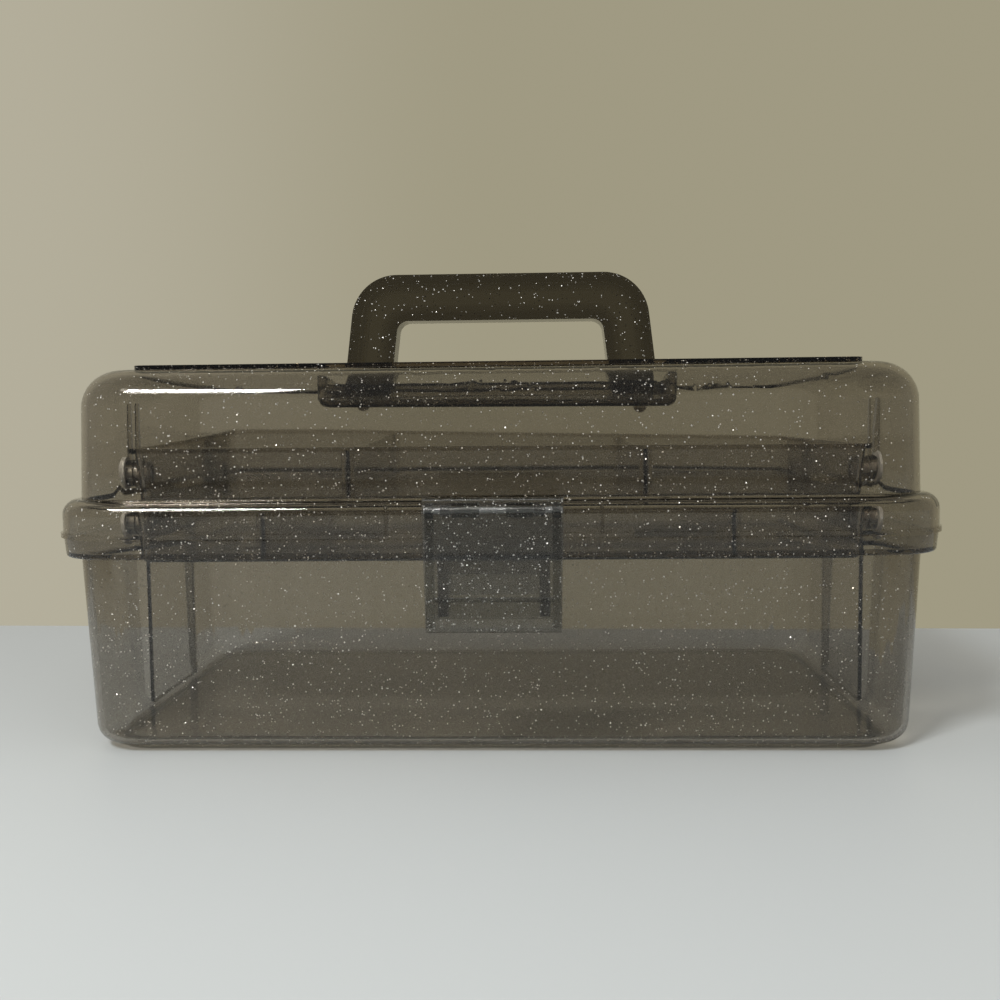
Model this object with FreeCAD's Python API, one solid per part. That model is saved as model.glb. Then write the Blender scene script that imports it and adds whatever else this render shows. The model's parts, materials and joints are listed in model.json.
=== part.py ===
import FreeCAD, Part
import math
import os

V = FreeCAD.Vector
os.makedirs("parts", exist_ok=True)

# A three-level folding storage case in thin moulded plastic, in mm.
# +X is the user's right, the latch faces -Y, +Z is up, z = 0 is the table.

# ---- driving dimensions ----
CASE_L = 330.0            # over the rim flange, left to right
CASE_W = 200.0            # over the rim flange, front to back
PART_Z = 81.0             # parting level between base and lid
LID_H = 62.5              # from the parting level to the flat top panel
WALL = 2.0                # moulded wall
SEAM = 0.3                # gap between lid and base at the parting level

# ---- clearances ----
RUN = 0.06                # radial, pin in its bore
SIDE = 0.4                # between faces that slide past each other

# ---- base ----
FLANGE_H = 7.0
FLANGE_R = 26.0
FLANGE_INSET = 0.8        # flange's top edge inside the lid's lip
FLANGE_DRAFT = 0.8
FLANGE_EDGE_R = 1.0
WALL_INSET = 7.0          # wall below the flange
DRAFT_INSET = 9.9         # the same at the floor
FLOOR_R = 8.0             # rounding where wall meets floor
FOOT_H = 1.6
FOOT_W = 3.0
POCKET_DEPTH = 6.5        # finger recess in each end wall
POCKET_LOW_Z = 4.0
POCKET_SLOPE = 8.0        # of its rear side; its front side stands square
POCKET_MARGIN = 0.5       # flat of the recess in front of the pivot tab
POCKET_REAR_Y = 29.0

# ---- lid ----
SKIRT_INSET = 0.8
SKIRT_H = 14.5            # from the parting level to the shoulder
SKIRT_R = 6.0
SKIRT_RIB_X = 38.0        # small stiffening ribs inside the skirt
LIP_OUT = 0.8             # lip round the skirt's lower edge
LIP_H = 1.8
LID_INSET = 6.0
LID_TOP_INSET = 7.4
LID_R = 24.0              # upright corners
LID_TOP_R = 14.5
PANEL_INSET_X = 29.0      # raised panel in the middle of the top
PANEL_INSET_Y = 20.0
PANEL_R = 5.0
PANEL_H = 1.5
RIB_T = 1.4
LID_RIB_Y = -31.0         # pair of ribs inside each end wall
LID_RIB_STEP = 9.0
BRACKET_TOP = 15.0        # bracket's height above the upper tray's rear pivot

# ---- handle and its well ----
WELL_DEPTH = 14.0
WELL_R = 8.0
WELL_NARROW = 9.8         # half width lost from the pivots to the front
FINGER_ROOM = 14.0        # beyond the grip of the folded handle
GRIP_REACH = 30.0         # from the pivot to the underside of the grip
GRIP_H = 20.0
GRIP_R = 20.0
HANDLE_HALF_TOP = 62.5
HANDLE_HALF_LOW = 69.5
LEG_W = 20.5
HANDLE_T = 13.0
RIM_W = 4.2               # raised rims of the handle's faces
STEP_W = 2.6              # second, narrower step inside the rims
STEP_DEPTH = 0.5
HANDLE_PIN_R = 2.4
HANDLE_PIN_IN = 10.0      # length of pin inside a leg
LUG_T = 5.0
LUG_R = 5.2
KNOB_R = 3.0              # moulding knobs under the well's floor

# ---- hinge and latch ----
HINGE_R = 3.1
HINGE_PIN_R = 1.5
HINGE_INSET = 80.0        # from the case's end to the middle of a hinge
KNUCKLE_L = 16.0
KNUCKLE_END_L = 8.0
LATCH_REACH = 7.0         # latch's face beyond the flange
LATCH_W = 49.0
LATCH_TAPER = 0.6
LATCH_H = 42.8            # from the pivot down to the latch's lower edge
LATCH_T = 1.8
LATCH_SIDE_T = 3.0
HOOK_T = 1.2              # ledge that hooks under the catch bar
HOOK_PAD_H = 7.0          # thicker strip of the latch's face below the ledge
LATCH_PIN_R = 1.2
EAR_R = 2.3               # ears on the skirt that hold the latch's pin
EAR_T = 4.0
EAR_X = 16.5
EAR_DROP = 4.0            # pivot below the shoulder
CATCH_OUT = 1.4           # catch's face beyond the flange
CATCH_HALF = 20.0
CATCH_DROP = 13.8         # from the parting level to the catch bar
CATCH_H = 5.7
CATCH_T = 1.3             # bar, a thin strip between the side plates
CATCH_ROOT_T = 3.8        # thick strip that joins the bar to the flange
CATCH_STEP = 1.5
CATCH_SIDE = 3.8          # side plates that carry the bar
CATCH_TAIL = 7.9          # side plates below the bar

# ---- trays and their linkage ----
TRAY_FRONT_GAP = 29.6     # from the flange's edge to the trays
TRAY_REAR_GAP = 25.6
TRAY_END_GAP = 1.4        # between a tray's rim and the links
TRAY_H = 21.0
TRAY_GAP = 1.5            # between the trays
TRAY_DROP = 11.5          # lower tray's floor below the parting level
TRAY_WALL = 1.8
TRAY_RIM = 2.6
TRAY_R = 5.0
TRAY_DRAFT = 1.6
TRAY_EDGE_R = 1.6
MIDDLE_CELL_HALF = 57.0   # upper tray's middle cell
END_CELL = 49.9           # lower tray's end cells
DIVIDER_T = 1.6
SLOT_RIB = 1.2            # ribs that hold a divider upright
SLOT_DEPTH = 3.0
LONG_ARM = V(0, -57.0, 16.0)      # from a base pivot to the upper tray's front pivot
SHORT_ARM = V(0, -33.5, 1.0)      # the same for the lower tray
FRONT_PIVOT_IN = 16.4     # from the trays' front to their front pivots
UPPER_PIVOT_UP = 11.0     # front pivots above each tray's floor
LOWER_PIVOT_UP = 14.5
LINK_T = 3.0
LINK_R = 5.0
RIVET_R = 2.0
RIVET_HEAD_R = 6.0
RIVET_HEAD_T = 1.4

# ---- places that follow ----
HALF_X, HALF_Y = CASE_L / 2, CASE_W / 2
LID_TOP_Z = PART_Z + LID_H
SKIRT_TOP_Z = PART_Z + SKIRT_H
LOWER_Z = PART_Z - TRAY_DROP
UPPER_Z = LOWER_Z + TRAY_H + TRAY_GAP
TRAY_FRONT_Y = TRAY_FRONT_GAP - HALF_Y
TRAY_REAR_Y = HALF_Y - TRAY_REAR_GAP
TAB_X = HALF_X - WALL_INSET - POCKET_DEPTH - WALL
LINK_X = TAB_X - SEAM - RIVET_HEAD_T - SIDE - LINK_T
TRAY_HALF_X = LINK_X - TRAY_END_GAP - TRAY_RIM
DIVIDER_X = {"upper": MIDDLE_CELL_HALF, "lower": TRAY_HALF_X - END_CELL}
HINGE = V(0, HALF_Y + SIDE + HINGE_R, PART_Z)
UPPER_FRONT = V(0, TRAY_FRONT_Y + FRONT_PIVOT_IN, UPPER_Z + UPPER_PIVOT_UP)
LOWER_FRONT = V(0, TRAY_FRONT_Y + FRONT_PIVOT_IN, LOWER_Z + LOWER_PIVOT_UP)
UPPER_REAR = HINGE + LONG_ARM
LOWER_REAR = HINGE + SHORT_ARM
LONG_PIVOT = UPPER_FRONT - LONG_ARM
SHORT_PIVOT = LOWER_FRONT - SHORT_ARM
POCKET_FRONT_Y = min(SHORT_PIVOT.y, LONG_PIVOT.y) - LINK_R - POCKET_MARGIN
WELL_FLOOR_Z = LID_TOP_Z - WELL_DEPTH
HANDLE_PIVOT = V(0, 0, WELL_FLOOR_Z + HANDLE_T / 2 + 1.0)
GRIP_LOW_Z = HANDLE_PIVOT.z + GRIP_REACH
GRIP_TOP_Z = GRIP_LOW_Z + GRIP_H
LEG_LOW_Z = HANDLE_PIVOT.z - HANDLE_T / 2
WELL_HALF_X = HANDLE_HALF_LOW + SIDE + LUG_T + 2.1
WELL_FRONT_Y = -(GRIP_REACH + GRIP_H + FINGER_ROOM)
WELL_REAR_Y = HANDLE_T / 2 + 7.5
LATCH_FACE_Y = -HALF_Y - LATCH_REACH
LATCH_BACK_Y = LATCH_FACE_Y + LATCH_T
LATCH_PIVOT = V(0, LATCH_BACK_Y + SIDE + EAR_R, SKIRT_TOP_Z - EAR_DROP)
LATCH_LOW_Z = LATCH_PIVOT.z - LATCH_H
CATCH_FACE_Y = -HALF_Y - CATCH_OUT
CATCH_TOP_Z = PART_Z - CATCH_DROP
CATCH_LOW_Z = CATCH_TOP_Z - CATCH_H


def save(shape, node):
    shape.exportStep("parts/%s.step" % node)
    print(node, len(shape.Solids), "solid(s)", round(shape.Volume / 1000, 1), "cm3", shape.isValid())


def box(x0, x1, y0, y1, z0, z1):
    return Part.makeBox(x1 - x0, y1 - y0, z1 - z0, V(x0, y0, z0))


def rod(p, r, length):
    """A cylinder along +X from p."""
    return Part.makeCylinder(r, length, p, V(1, 0, 0))


def at_x(p, x):
    return V(x, p.y, p.z)


def rounded_wire(hx, hy, r, z, y_mid=0.0):
    """A rounded rectangle lying flat at height z."""
    k = r * (1 - math.sqrt(0.5))
    edges = []
    corners = [(1, 1), (-1, 1), (-1, -1), (1, -1)]
    ends = []
    for sx, sy in corners:
        a = V(sx * hx, y_mid + sy * (hy - r), z)
        b = V(sx * (hx - r), y_mid + sy * hy, z)
        m = V(sx * (hx - k), y_mid + sy * (hy - k), z)
        if sx * sy < 0:
            a, b = b, a
        ends.append((a, m, b))
    for i, (a, m, b) in enumerate(ends):
        edges.append(Part.Arc(a, m, b).toShape())
        edges.append(Part.makeLine(b, ends[(i + 1) % 4][0]))
    return Part.Wire(edges)


def block(low, high, y_mid=0.0):
    """A drafted block between two rounded rectangles, each (half x, half y, corner r, z)."""
    wires = [rounded_wire(*low, y_mid), rounded_wire(*high, y_mid)]
    return Part.makeLoft(wires, True, True)


def slab(hx, hy, r, z0, z1, y_mid=0.0):
    face = Part.Face(rounded_wire(hx, hy, r, z0, y_mid))
    return face.extrude(V(0, 0, z1 - z0))


def level_edges(shape, z):
    return [e for e in shape.Edges if all(abs(v.Z - z) < 1e-4 for v in e.Vertexes)
            and abs(e.BoundBox.ZMax - z) < 1e-3 and abs(e.BoundBox.ZMin - z) < 1e-3]


def round_level(shape, z, r):
    return shape.makeFillet(r, level_edges(shape, z))


def prism(points, axis, start, length):
    """A polygon given as (y, z) pairs for axis x, (x, z) for y or (x, y) for z."""
    place = {
        "x": lambda a, b: V(start, a, b),
        "y": lambda a, b: V(a, start, b),
        "z": lambda a, b: V(a, b, start),
    }[axis]
    along = {"x": V(length, 0, 0), "y": V(0, length, 0), "z": V(0, 0, length)}[axis]
    wire = Part.makePolygon([place(a, b) for a, b in points + points[:1]])
    return Part.Face(wire).extrude(along)


def both_sides(shape):
    return [shape, shape.mirror(V(0, 0, 0), V(1, 0, 0))]


def fuse(shapes):
    whole = shapes[0].fuse(shapes[1:]) if len(shapes) > 1 else shapes[0]
    return whole.removeSplitter()


# ---- base ----
def pocket(grow, z0, z1):
    """The recess in the +X end wall, grown inwards and sideways for the wall round it."""
    x_in = HALF_X - WALL_INSET - POCKET_DEPTH - grow
    x_out = HALF_X + 10
    y0, y1 = POCKET_FRONT_Y - grow, POCKET_REAR_Y + grow
    spread = POCKET_SLOPE * (x_out - x_in) / (POCKET_DEPTH + grow)
    return prism([(x_in, y0), (x_out, y0), (x_out, y1 + spread), (x_in, y1)], "z", z0, z1 - z0)


def tab():
    """A tab that rises from the recessed wall and carries a link's pivots."""
    parts = []
    root_z = PART_Z - FLANGE_H - 2 * WALL
    for p in (LONG_PIVOT, SHORT_PIVOT):
        parts.append(rod(at_x(p, TAB_X), LINK_R, WALL))
        parts.append(box(TAB_X, TAB_X + WALL, p.y - LINK_R, p.y + LINK_R, root_z, p.z))
    low, high = sorted((SHORT_PIVOT, LONG_PIVOT), key=lambda p: p.z)
    y0, y1 = sorted((low.y, high.y))
    parts.append(box(TAB_X, TAB_X + WALL, y0, y1, root_z, low.z + LINK_R / 2))
    shape = fuse(parts)
    for p in (LONG_PIVOT, SHORT_PIVOT):
        shape = shape.cut(rod(at_x(p, TAB_X - 1), RIVET_R, WALL + 2))
    return shape


def base_box():
    flange_z = PART_Z - FLANGE_H
    top_hx, top_hy = HALF_X - WALL_INSET, HALF_Y - WALL_INSET
    low_hx, low_hy = HALF_X - DRAFT_INSET, HALF_Y - DRAFT_INSET
    wall_r = FLANGE_R - WALL_INSET
    outer = block((low_hx, low_hy, wall_r, FOOT_H), (top_hx, top_hy, wall_r, flange_z + 1))
    outer = round_level(outer, FOOT_H, FLOOR_R)
    for cut in both_sides(pocket(0, POCKET_LOW_Z, flange_z)):
        outer = outer.cut(cut)
    rim_x, rim_y = HALF_X - FLANGE_INSET, HALF_Y - FLANGE_INSET
    low_x, low_y = rim_x - FLANGE_DRAFT, rim_y - FLANGE_DRAFT
    flange = block((low_x, low_y, FLANGE_R - FLANGE_DRAFT, flange_z), (rim_x, rim_y, FLANGE_R, PART_Z))
    flange = round_level(flange, flange_z, FLANGE_EDGE_R)
    room = block((low_hx - WALL, low_hy - WALL, wall_r - WALL, FOOT_H + WALL),
                 (top_hx - WALL, top_hy - WALL, wall_r - WALL, PART_Z + 1))
    room = round_level(room, FOOT_H + WALL, FLOOR_R - WALL)
    for keep in both_sides(pocket(WALL, 0, flange_z + WALL)):
        room = room.cut(keep)
    foot_x, foot_y, foot_r = low_hx - FLOOR_R, low_hy - FLOOR_R, wall_r - FLOOR_R + FOOT_W
    foot = slab(foot_x, foot_y, foot_r, 0, FOOT_H + 1)
    foot = foot.cut(slab(foot_x - FOOT_W, foot_y - FOOT_W, foot_r - FOOT_W, -1, FOOT_H + 2))
    rim_room = slab(low_x - WALL, low_y - WALL, FLANGE_R - FLANGE_DRAFT - WALL, flange_z + WALL, PART_Z + 1)
    shape = fuse([outer, flange, foot]).cut(room).cut(rim_room)
    shape = fuse([shape] + both_sides(tab()) + catch() + base_knuckles())
    return shape


def catch():
    """The bar on the front wall that the latch closes over, hung from the flange between two plates."""
    wall_y = WALL_INSET + 0.6 * WALL - HALF_Y
    root_z = PART_Z - FLANGE_H + 1
    bar = box(-CATCH_HALF, CATCH_HALF, CATCH_FACE_Y, CATCH_FACE_Y + CATCH_T, CATCH_LOW_Z, root_z)
    root_y = CATCH_FACE_Y + CATCH_ROOT_T
    root = box(-CATCH_HALF, CATCH_HALF, CATCH_FACE_Y, root_y, CATCH_TOP_Z + CATCH_STEP, root_z)
    plates = []
    for s in (-1, 1):
        mid = s * (CATCH_HALF - CATCH_SIDE / 2)
        x0, x1 = mid - CATCH_SIDE / 2, mid + CATCH_SIDE / 2
        plates.append(box(x0, x1, CATCH_FACE_Y, wall_y, CATCH_LOW_Z - CATCH_TAIL, root_z))
    return [bar, root] + plates


def knuckle(x0, x1, z_side):
    """A hinge knuckle with its arm to the flange (z_side -1) or to the lid's skirt (+1)."""
    barrel = rod(at_x(HINGE, x0), HINGE_R, x1 - x0)
    if z_side < 0:
        arm = box(x0, x1, HALF_Y - 1, HINGE.y, PART_Z - HINGE_R, PART_Z)
    else:
        arm = box(x0, x1, HALF_Y - SKIRT_INSET - 1, HINGE.y, PART_Z + HINGE_R / 3, PART_Z + HINGE_R)
    bore = rod(at_x(HINGE, x0 - 1), HINGE_PIN_R + (RUN if z_side > 0 else 0), x1 - x0 + 2)
    return fuse([barrel, arm]).cut(bore)


def base_knuckles():
    x = HALF_X - HINGE_INSET
    return [knuckle(s * x - KNUCKLE_L / 2, s * x + KNUCKLE_L / 2, -1) for s in (-1, 1)]


def lid_knuckles():
    found = []
    start = KNUCKLE_L / 2 + SIDE
    for s in (-1, 1):
        for side in (-1, 1):
            a = s * (HALF_X - HINGE_INSET) + side * start
            b = a + side * KNUCKLE_END_L
            found.append(knuckle(min(a, b), max(a, b), 1))
    return found


def hinge_pins():
    length = KNUCKLE_L + 2 * (SIDE + KNUCKLE_END_L) + 1.6
    return [rod(at_x(HINGE, s * (HALF_X - HINGE_INSET) - length / 2), HINGE_PIN_R, length) for s in (-1, 1)]


# ---- lid ----
def lid_blocks():
    """The lid's dome and the room inside it, both solid."""
    z0 = PART_Z + SEAM
    low_x, low_y = HALF_X - LID_INSET, HALF_Y - LID_INSET
    top_x, top_y = HALF_X - LID_TOP_INSET, HALF_Y - LID_TOP_INSET
    dome = block((low_x, low_y, LID_R, z0), (top_x, top_y, LID_R, LID_TOP_Z))
    room_low = (low_x - WALL, low_y - WALL, LID_R - WALL, z0 - 1)
    room = block(room_low, (top_x - WALL, top_y - WALL, LID_R - WALL, LID_TOP_Z - WALL))
    return round_level(dome, LID_TOP_Z, LID_TOP_R), round_level(room, LID_TOP_Z - WALL, LID_TOP_R - WALL)


def lid_bracket():
    """The moulding bonded inside the +X end wall that carries the rear pivots of both trays."""
    plate = [rod(at_x(p, LINK_X), LINK_R, LINK_T) for p in (UPPER_REAR, LOWER_REAR)]
    y0, y1, top = UPPER_REAR.y - LINK_R, LOWER_REAR.y + LINK_R, UPPER_REAR.z + BRACKET_TOP
    hip = V(0, UPPER_REAR.y - LINK_R * 0.4, UPPER_REAR.z - LINK_R * 0.9)
    knee = V(0, LOWER_REAR.y - LINK_R * 0.6, LOWER_REAR.z - LINK_R * 0.78)
    outline = [(y0, UPPER_REAR.z), (hip.y, hip.z), (knee.y, knee.z), (y1, LOWER_REAR.z), (y1, top), (y0, top)]
    plate.append(prism(outline, "x", LINK_X, LINK_T))
    for y in (y0 + LINK_T, y1 - LINK_T - RIB_T):
        plate.append(box(LINK_X + 1, HALF_X, y, y + RIB_T, SKIRT_TOP_Z + RIB_T, top))
    shape = fuse(plate).common(lid_blocks()[1])
    for p in (UPPER_REAR, LOWER_REAR):
        shape = shape.cut(rod(at_x(p, LINK_X - 1), RIVET_R, LINK_T + 2))
    return shape


def latch_ears():
    """Two ears on the skirt that hold the latch's pin."""
    found = []
    p = LATCH_PIVOT
    for s in (-1, 1):
        x0 = s * EAR_X - EAR_T / 2
        arm = box(x0, x0 + EAR_T, p.y, -(HALF_Y - SKIRT_INSET - 1), p.z - EAR_R, p.z + EAR_R / 2)
        ear = fuse([rod(at_x(p, x0), EAR_R, EAR_T), arm])
        found.append(ear.cut(rod(at_x(p, x0 - 1), LATCH_PIN_R, EAR_T + 2)))
    return found


def handle_lugs():
    """Blocks on the well's floor beside the handle's legs, with bosses under the floor."""
    found = []
    under = WELL_FLOOR_Z - WALL
    for s in (-1, 1):
        x0 = s * (HANDLE_HALF_LOW + SIDE + LUG_T / 2) - LUG_T / 2
        foot = box(x0, x0 + LUG_T, -LUG_R, LUG_R, WELL_FLOOR_Z - 1, HANDLE_PIVOT.z)
        lug = fuse([rod(at_x(HANDLE_PIVOT, x0), LUG_R, LUG_T), foot])
        found.append(lug.cut(rod(at_x(HANDLE_PIVOT, x0 - 1), HANDLE_PIN_R, LUG_T + 2)))
        mid = s * (HANDLE_HALF_LOW - LEG_W / 2 + 2)
        knob = Part.makeSphere(KNOB_R, V(mid, 0, under))
        found.append(knob.common(box(mid - 9, mid + 9, -9, 9, under - KNOB_R, under + WALL / 2)))
    return found


def well_block(grow, z0, z1, edge_r):
    """The handle's well, wide at the pivots and narrower in front, grown for the wall round it."""
    front, rear = WELL_FRONT_Y - grow, WELL_REAR_Y + grow
    wide, narrow = WELL_HALF_X + grow, WELL_HALF_X + grow - WELL_NARROW
    shape = prism([(-narrow, front), (narrow, front), (wide, rear), (-wide, rear)], "z", z0, z1 - z0)
    upright = [e for e in shape.Edges if e.BoundBox.ZLength > (z1 - z0) / 2]
    return round_level(shape.makeFillet(WELL_R + grow, upright), z0, edge_r)


def lid_shell():
    skirt_x, skirt_y = HALF_X - SKIRT_INSET, HALF_Y - SKIRT_INSET
    z0 = PART_Z + SEAM
    r = FLANGE_R - SKIRT_INSET
    skirt = round_level(slab(skirt_x, skirt_y, r, z0, SKIRT_TOP_Z), SKIRT_TOP_Z, SKIRT_R)
    lip = slab(skirt_x + LIP_OUT, skirt_y + LIP_OUT, r + LIP_OUT, z0, z0 + LIP_H)
    dome, room = lid_blocks()
    panel_x, panel_y, panel_z = HALF_X - PANEL_INSET_X, HALF_Y - PANEL_INSET_Y, LID_TOP_Z + PANEL_H
    panel = slab(panel_x, panel_y, PANEL_R, LID_TOP_Z - 1, panel_z)
    panel_room = slab(panel_x - WALL, panel_y - WALL, PANEL_R - WALL, LID_TOP_Z - 2 * WALL, panel_z - WALL)
    room_skirt = slab(skirt_x - WALL, skirt_y - WALL, r - WALL, z0 - 1, SKIRT_TOP_Z - WALL)
    room_skirt = round_level(room_skirt, SKIRT_TOP_Z - WALL, SKIRT_R - WALL)
    tub = well_block(WALL, WELL_FLOOR_Z - WALL, LID_TOP_Z, WELL_R / 2)
    well = well_block(0, WELL_FLOOR_Z, panel_z + 1, WELL_R / 2 - 1)
    shape = skirt.fuse([lip, dome, panel]).cut(room_skirt).cut(room).cut(panel_room)
    shape = shape.fuse(tub).cut(well)
    ribs = []
    rib_x = HALF_X - LID_TOP_INSET - WALL
    for y in (LID_RIB_Y, LID_RIB_Y + LID_RIB_STEP):
        rib = box(rib_x - 1, rib_x + WALL / 2, y, y + RIB_T, SKIRT_TOP_Z + 3, LID_TOP_Z - LID_TOP_R + 2)
        ribs += both_sides(rib)
    rib_y = -(skirt_y - WALL / 2)
    rib_x1 = SKIRT_RIB_X + RIB_T
    ribs += both_sides(box(SKIRT_RIB_X, rib_x1, rib_y, rib_y + 4, z0 + 1, SKIRT_TOP_Z - WALL - 1))
    return fuse([shape] + latch_ears() + handle_lugs() + lid_knuckles() + ribs)


# ---- handle ----
def handle_half(z):
    """Half the handle's width at height z, before its corners are rounded."""
    share = (z - LEG_LOW_Z) / (GRIP_TOP_Z - LEG_LOW_Z)
    return HANDLE_HALF_LOW + share * (HANDLE_HALF_TOP - HANDLE_HALF_LOW)


def arch(half, z_low, z_top, depth, r):
    """An arch-shaped block, centred on y = 0, whose sides lean as the handle's do."""
    low, top = half(z_low), half(z_top)
    shape = prism([(-low, z_low), (-top, z_top), (top, z_top), (low, z_low)], "y", -depth / 2, depth)
    upper = [e for e in shape.Edges if abs(e.BoundBox.ZMin - z_top) < 1e-4 and e.BoundBox.XLength < 1e-4]
    return shape.makeFillet(r, upper)


def handle_outline(grow, depth):
    """The handle's outer outline less grow."""
    return arch(lambda z: handle_half(z) - grow, LEG_LOW_Z, GRIP_TOP_Z - grow, depth, GRIP_R - grow)


def handle_gap(grow, depth):
    """The finger gap, grown outwards."""
    top = GRIP_LOW_Z + grow
    return arch(lambda z: handle_half(z) - LEG_W + grow, LEG_LOW_Z - 1, top, depth, GRIP_R / 4 + grow)


def carry_handle():
    shape = handle_outline(0, HANDLE_T).cut(handle_gap(0, 2 * HANDLE_T))
    half = HANDLE_HALF_LOW + 1
    for inset, depth in ((RIM_W, STEP_DEPTH), (RIM_W + STEP_W, 2 * STEP_DEPTH)):
        band = handle_outline(inset, HANDLE_T).cut(handle_gap(inset, 2 * HANDLE_T))
        foot_z = HANDLE_PIVOT.z + LUG_R + inset
        band = band.cut(box(-half, half, -HANDLE_T, HANDLE_T, LEG_LOW_Z - 1, foot_z))
        for s in (-1, 1):
            step = band.copy()
            step.translate(V(0, s * (HANDLE_T - depth), 0))
            shape = shape.cut(step)
    corner = HANDLE_T / 2
    above = box(-half, half, -corner, corner, HANDLE_PIVOT.z, GRIP_TOP_Z + 1)
    shape = shape.common(fuse([rod(at_x(HANDLE_PIVOT, -half), corner, 2 * half), above]))
    for s in (-1, 1):
        x0 = min(s * (HANDLE_HALF_LOW - HANDLE_PIN_IN - 1), s * (HANDLE_HALF_LOW + 1))
        shape = shape.cut(rod(at_x(HANDLE_PIVOT, x0), HANDLE_PIN_R + RUN, HANDLE_PIN_IN + 2))
    return shape


def handle_pins():
    """Each runs through a lug of the well into the handle's leg."""
    found = []
    inner, outer = HANDLE_HALF_LOW - HANDLE_PIN_IN, HANDLE_HALF_LOW + SIDE + LUG_T
    for s in (-1, 1):
        found.append(rod(at_x(HANDLE_PIVOT, min(s * inner, s * outer)), HANDLE_PIN_R, outer - inner))
    return found


# ---- latch ----
def front_latch():
    hx = LATCH_W / 2 + LATCH_TAPER / 2
    low_x = LATCH_W / 2 - LATCH_TAPER
    p = LATCH_PIVOT
    crown_r = p.y - LATCH_FACE_Y
    root_y = LATCH_BACK_Y - LATCH_T / 3
    outline = [(-low_x, LATCH_LOW_Z), (low_x, LATCH_LOW_Z), (hx, p.z), (-hx, p.z)]
    plate = prism(outline, "y", LATCH_FACE_Y, LATCH_T)
    crown = rod(at_x(p, -hx), crown_r, 2 * hx)
    crown = crown.common(box(-hx, hx, p.y - crown_r, p.y - 0.6, p.z, p.z + crown_r))
    crown = crown.cut(rod(at_x(p, -hx - 1), EAR_R + 2.5 * SIDE, 2 * hx + 2))
    sides = []
    knuckle_l = 2 * (EAR_X - EAR_T / 2 - SIDE) / 3
    for s in (-1, 1):
        side_x = s * (low_x - LATCH_SIDE_T / 2)
        x0, x1 = side_x - LATCH_SIDE_T / 2, side_x + LATCH_SIDE_T / 2
        sides.append(box(x0, x1, root_y, p.y, LATCH_LOW_Z + 1.5, p.z))
        sides.append(rod(at_x(p, x0), EAR_R + SIDE, LATCH_SIDE_T))
        x0 = s * (EAR_X - EAR_T / 2 - SIDE - knuckle_l / 2) - knuckle_l / 2
        x1 = x0 + knuckle_l
        arm = box(x0, x1, root_y, p.y, p.z - EAR_R, p.z + EAR_R)
        sides.append(fuse([rod(at_x(p, x0), EAR_R + SIDE, knuckle_l), arm]))
    in_x = low_x - LATCH_T / 3
    hook_z = CATCH_LOW_Z - 1.1
    hook = box(-in_x, in_x, root_y, CATCH_FACE_Y - SIDE, hook_z - HOOK_T, hook_z)
    pad = box(-in_x, in_x, root_y, LATCH_BACK_Y + HOOK_T, hook_z - HOOK_PAD_H, hook_z)
    bead = box(-in_x, in_x, root_y, LATCH_BACK_Y + HOOK_T / 2, LATCH_LOW_Z, LATCH_LOW_Z + HOOK_T)
    shape = fuse([plate, crown, hook, pad, bead] + sides)
    return shape.cut(rod(at_x(p, -hx - 1), LATCH_PIN_R + RUN, 2 * hx + 2))


def latch_pin():
    return rod(at_x(LATCH_PIVOT, -LATCH_W / 2), LATCH_PIN_R, LATCH_W)


# ---- trays ----
def tray(z0, pivots, divider_x):
    y_mid, hy = (TRAY_FRONT_Y + TRAY_REAR_Y) / 2, (TRAY_REAR_Y - TRAY_FRONT_Y) / 2
    z1 = z0 + TRAY_H
    draft = TRAY_DRAFT
    outer = block((TRAY_HALF_X - draft, hy - draft, TRAY_R, z0), (TRAY_HALF_X, hy, TRAY_R, z1), y_mid)
    outer = round_level(outer, z0, TRAY_EDGE_R)
    rim = slab(TRAY_HALF_X + TRAY_RIM, hy + TRAY_RIM, TRAY_R + TRAY_RIM, z1 - TRAY_WALL, z1, y_mid)
    t = TRAY_WALL
    room = block((TRAY_HALF_X - draft - t, hy - draft - t, TRAY_R - t, z0 + t),
                 (TRAY_HALF_X - t, hy - t, TRAY_R - t, z1 + 0.1), y_mid)
    room = round_level(room, z0 + t, TRAY_EDGE_R)
    shape = outer.fuse(rim).cut(room)
    bosses = []
    for p in pivots:
        x0 = TRAY_HALF_X - TRAY_WALL - TRAY_DRAFT
        bosses += both_sides(rod(at_x(p, x0), LINK_R - 0.6, LINK_X - SIDE - x0))
    shape = fuse([shape] + bosses).cut(room)
    for x in (-divider_x, divider_x):
        for y_wall, side in ((TRAY_FRONT_Y + t, 1), (TRAY_REAR_Y - t, -1)):
            for dx in (-DIVIDER_T / 2 - SIDE - SLOT_RIB, DIVIDER_T / 2 + SIDE):
                y0, y1 = sorted((y_wall - side * t / 3, y_wall + side * SLOT_DEPTH))
                shape = shape.fuse(box(x + dx, x + dx + SLOT_RIB, y0, y1, z0 + t / 2, z1 - t))
    shape = shape.removeSplitter()
    front, rear = pivots
    for p, r in ((front, RIVET_R), (rear, RIVET_R + RUN)):
        for bore in both_sides(rod(at_x(p, TRAY_HALF_X - 2 * t), r, 4 * t + TRAY_RIM + TRAY_END_GAP)):
            shape = shape.cut(bore)
    return shape


def divider(x, z0):
    t = TRAY_WALL
    gap = TRAY_DRAFT + SIDE / 2
    y0, y1 = TRAY_FRONT_Y + t + gap, TRAY_REAR_Y - t - gap
    plate = box(x - DIVIDER_T / 2, x + DIVIDER_T / 2, y0, y1, z0 + t, z0 + TRAY_H - DIVIDER_T)
    low = [e for e in plate.Edges if e.BoundBox.ZMax < z0 + t + 0.01 and e.BoundBox.YLength < 0.01]
    return plate.makeFillet(2.5, low)


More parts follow.
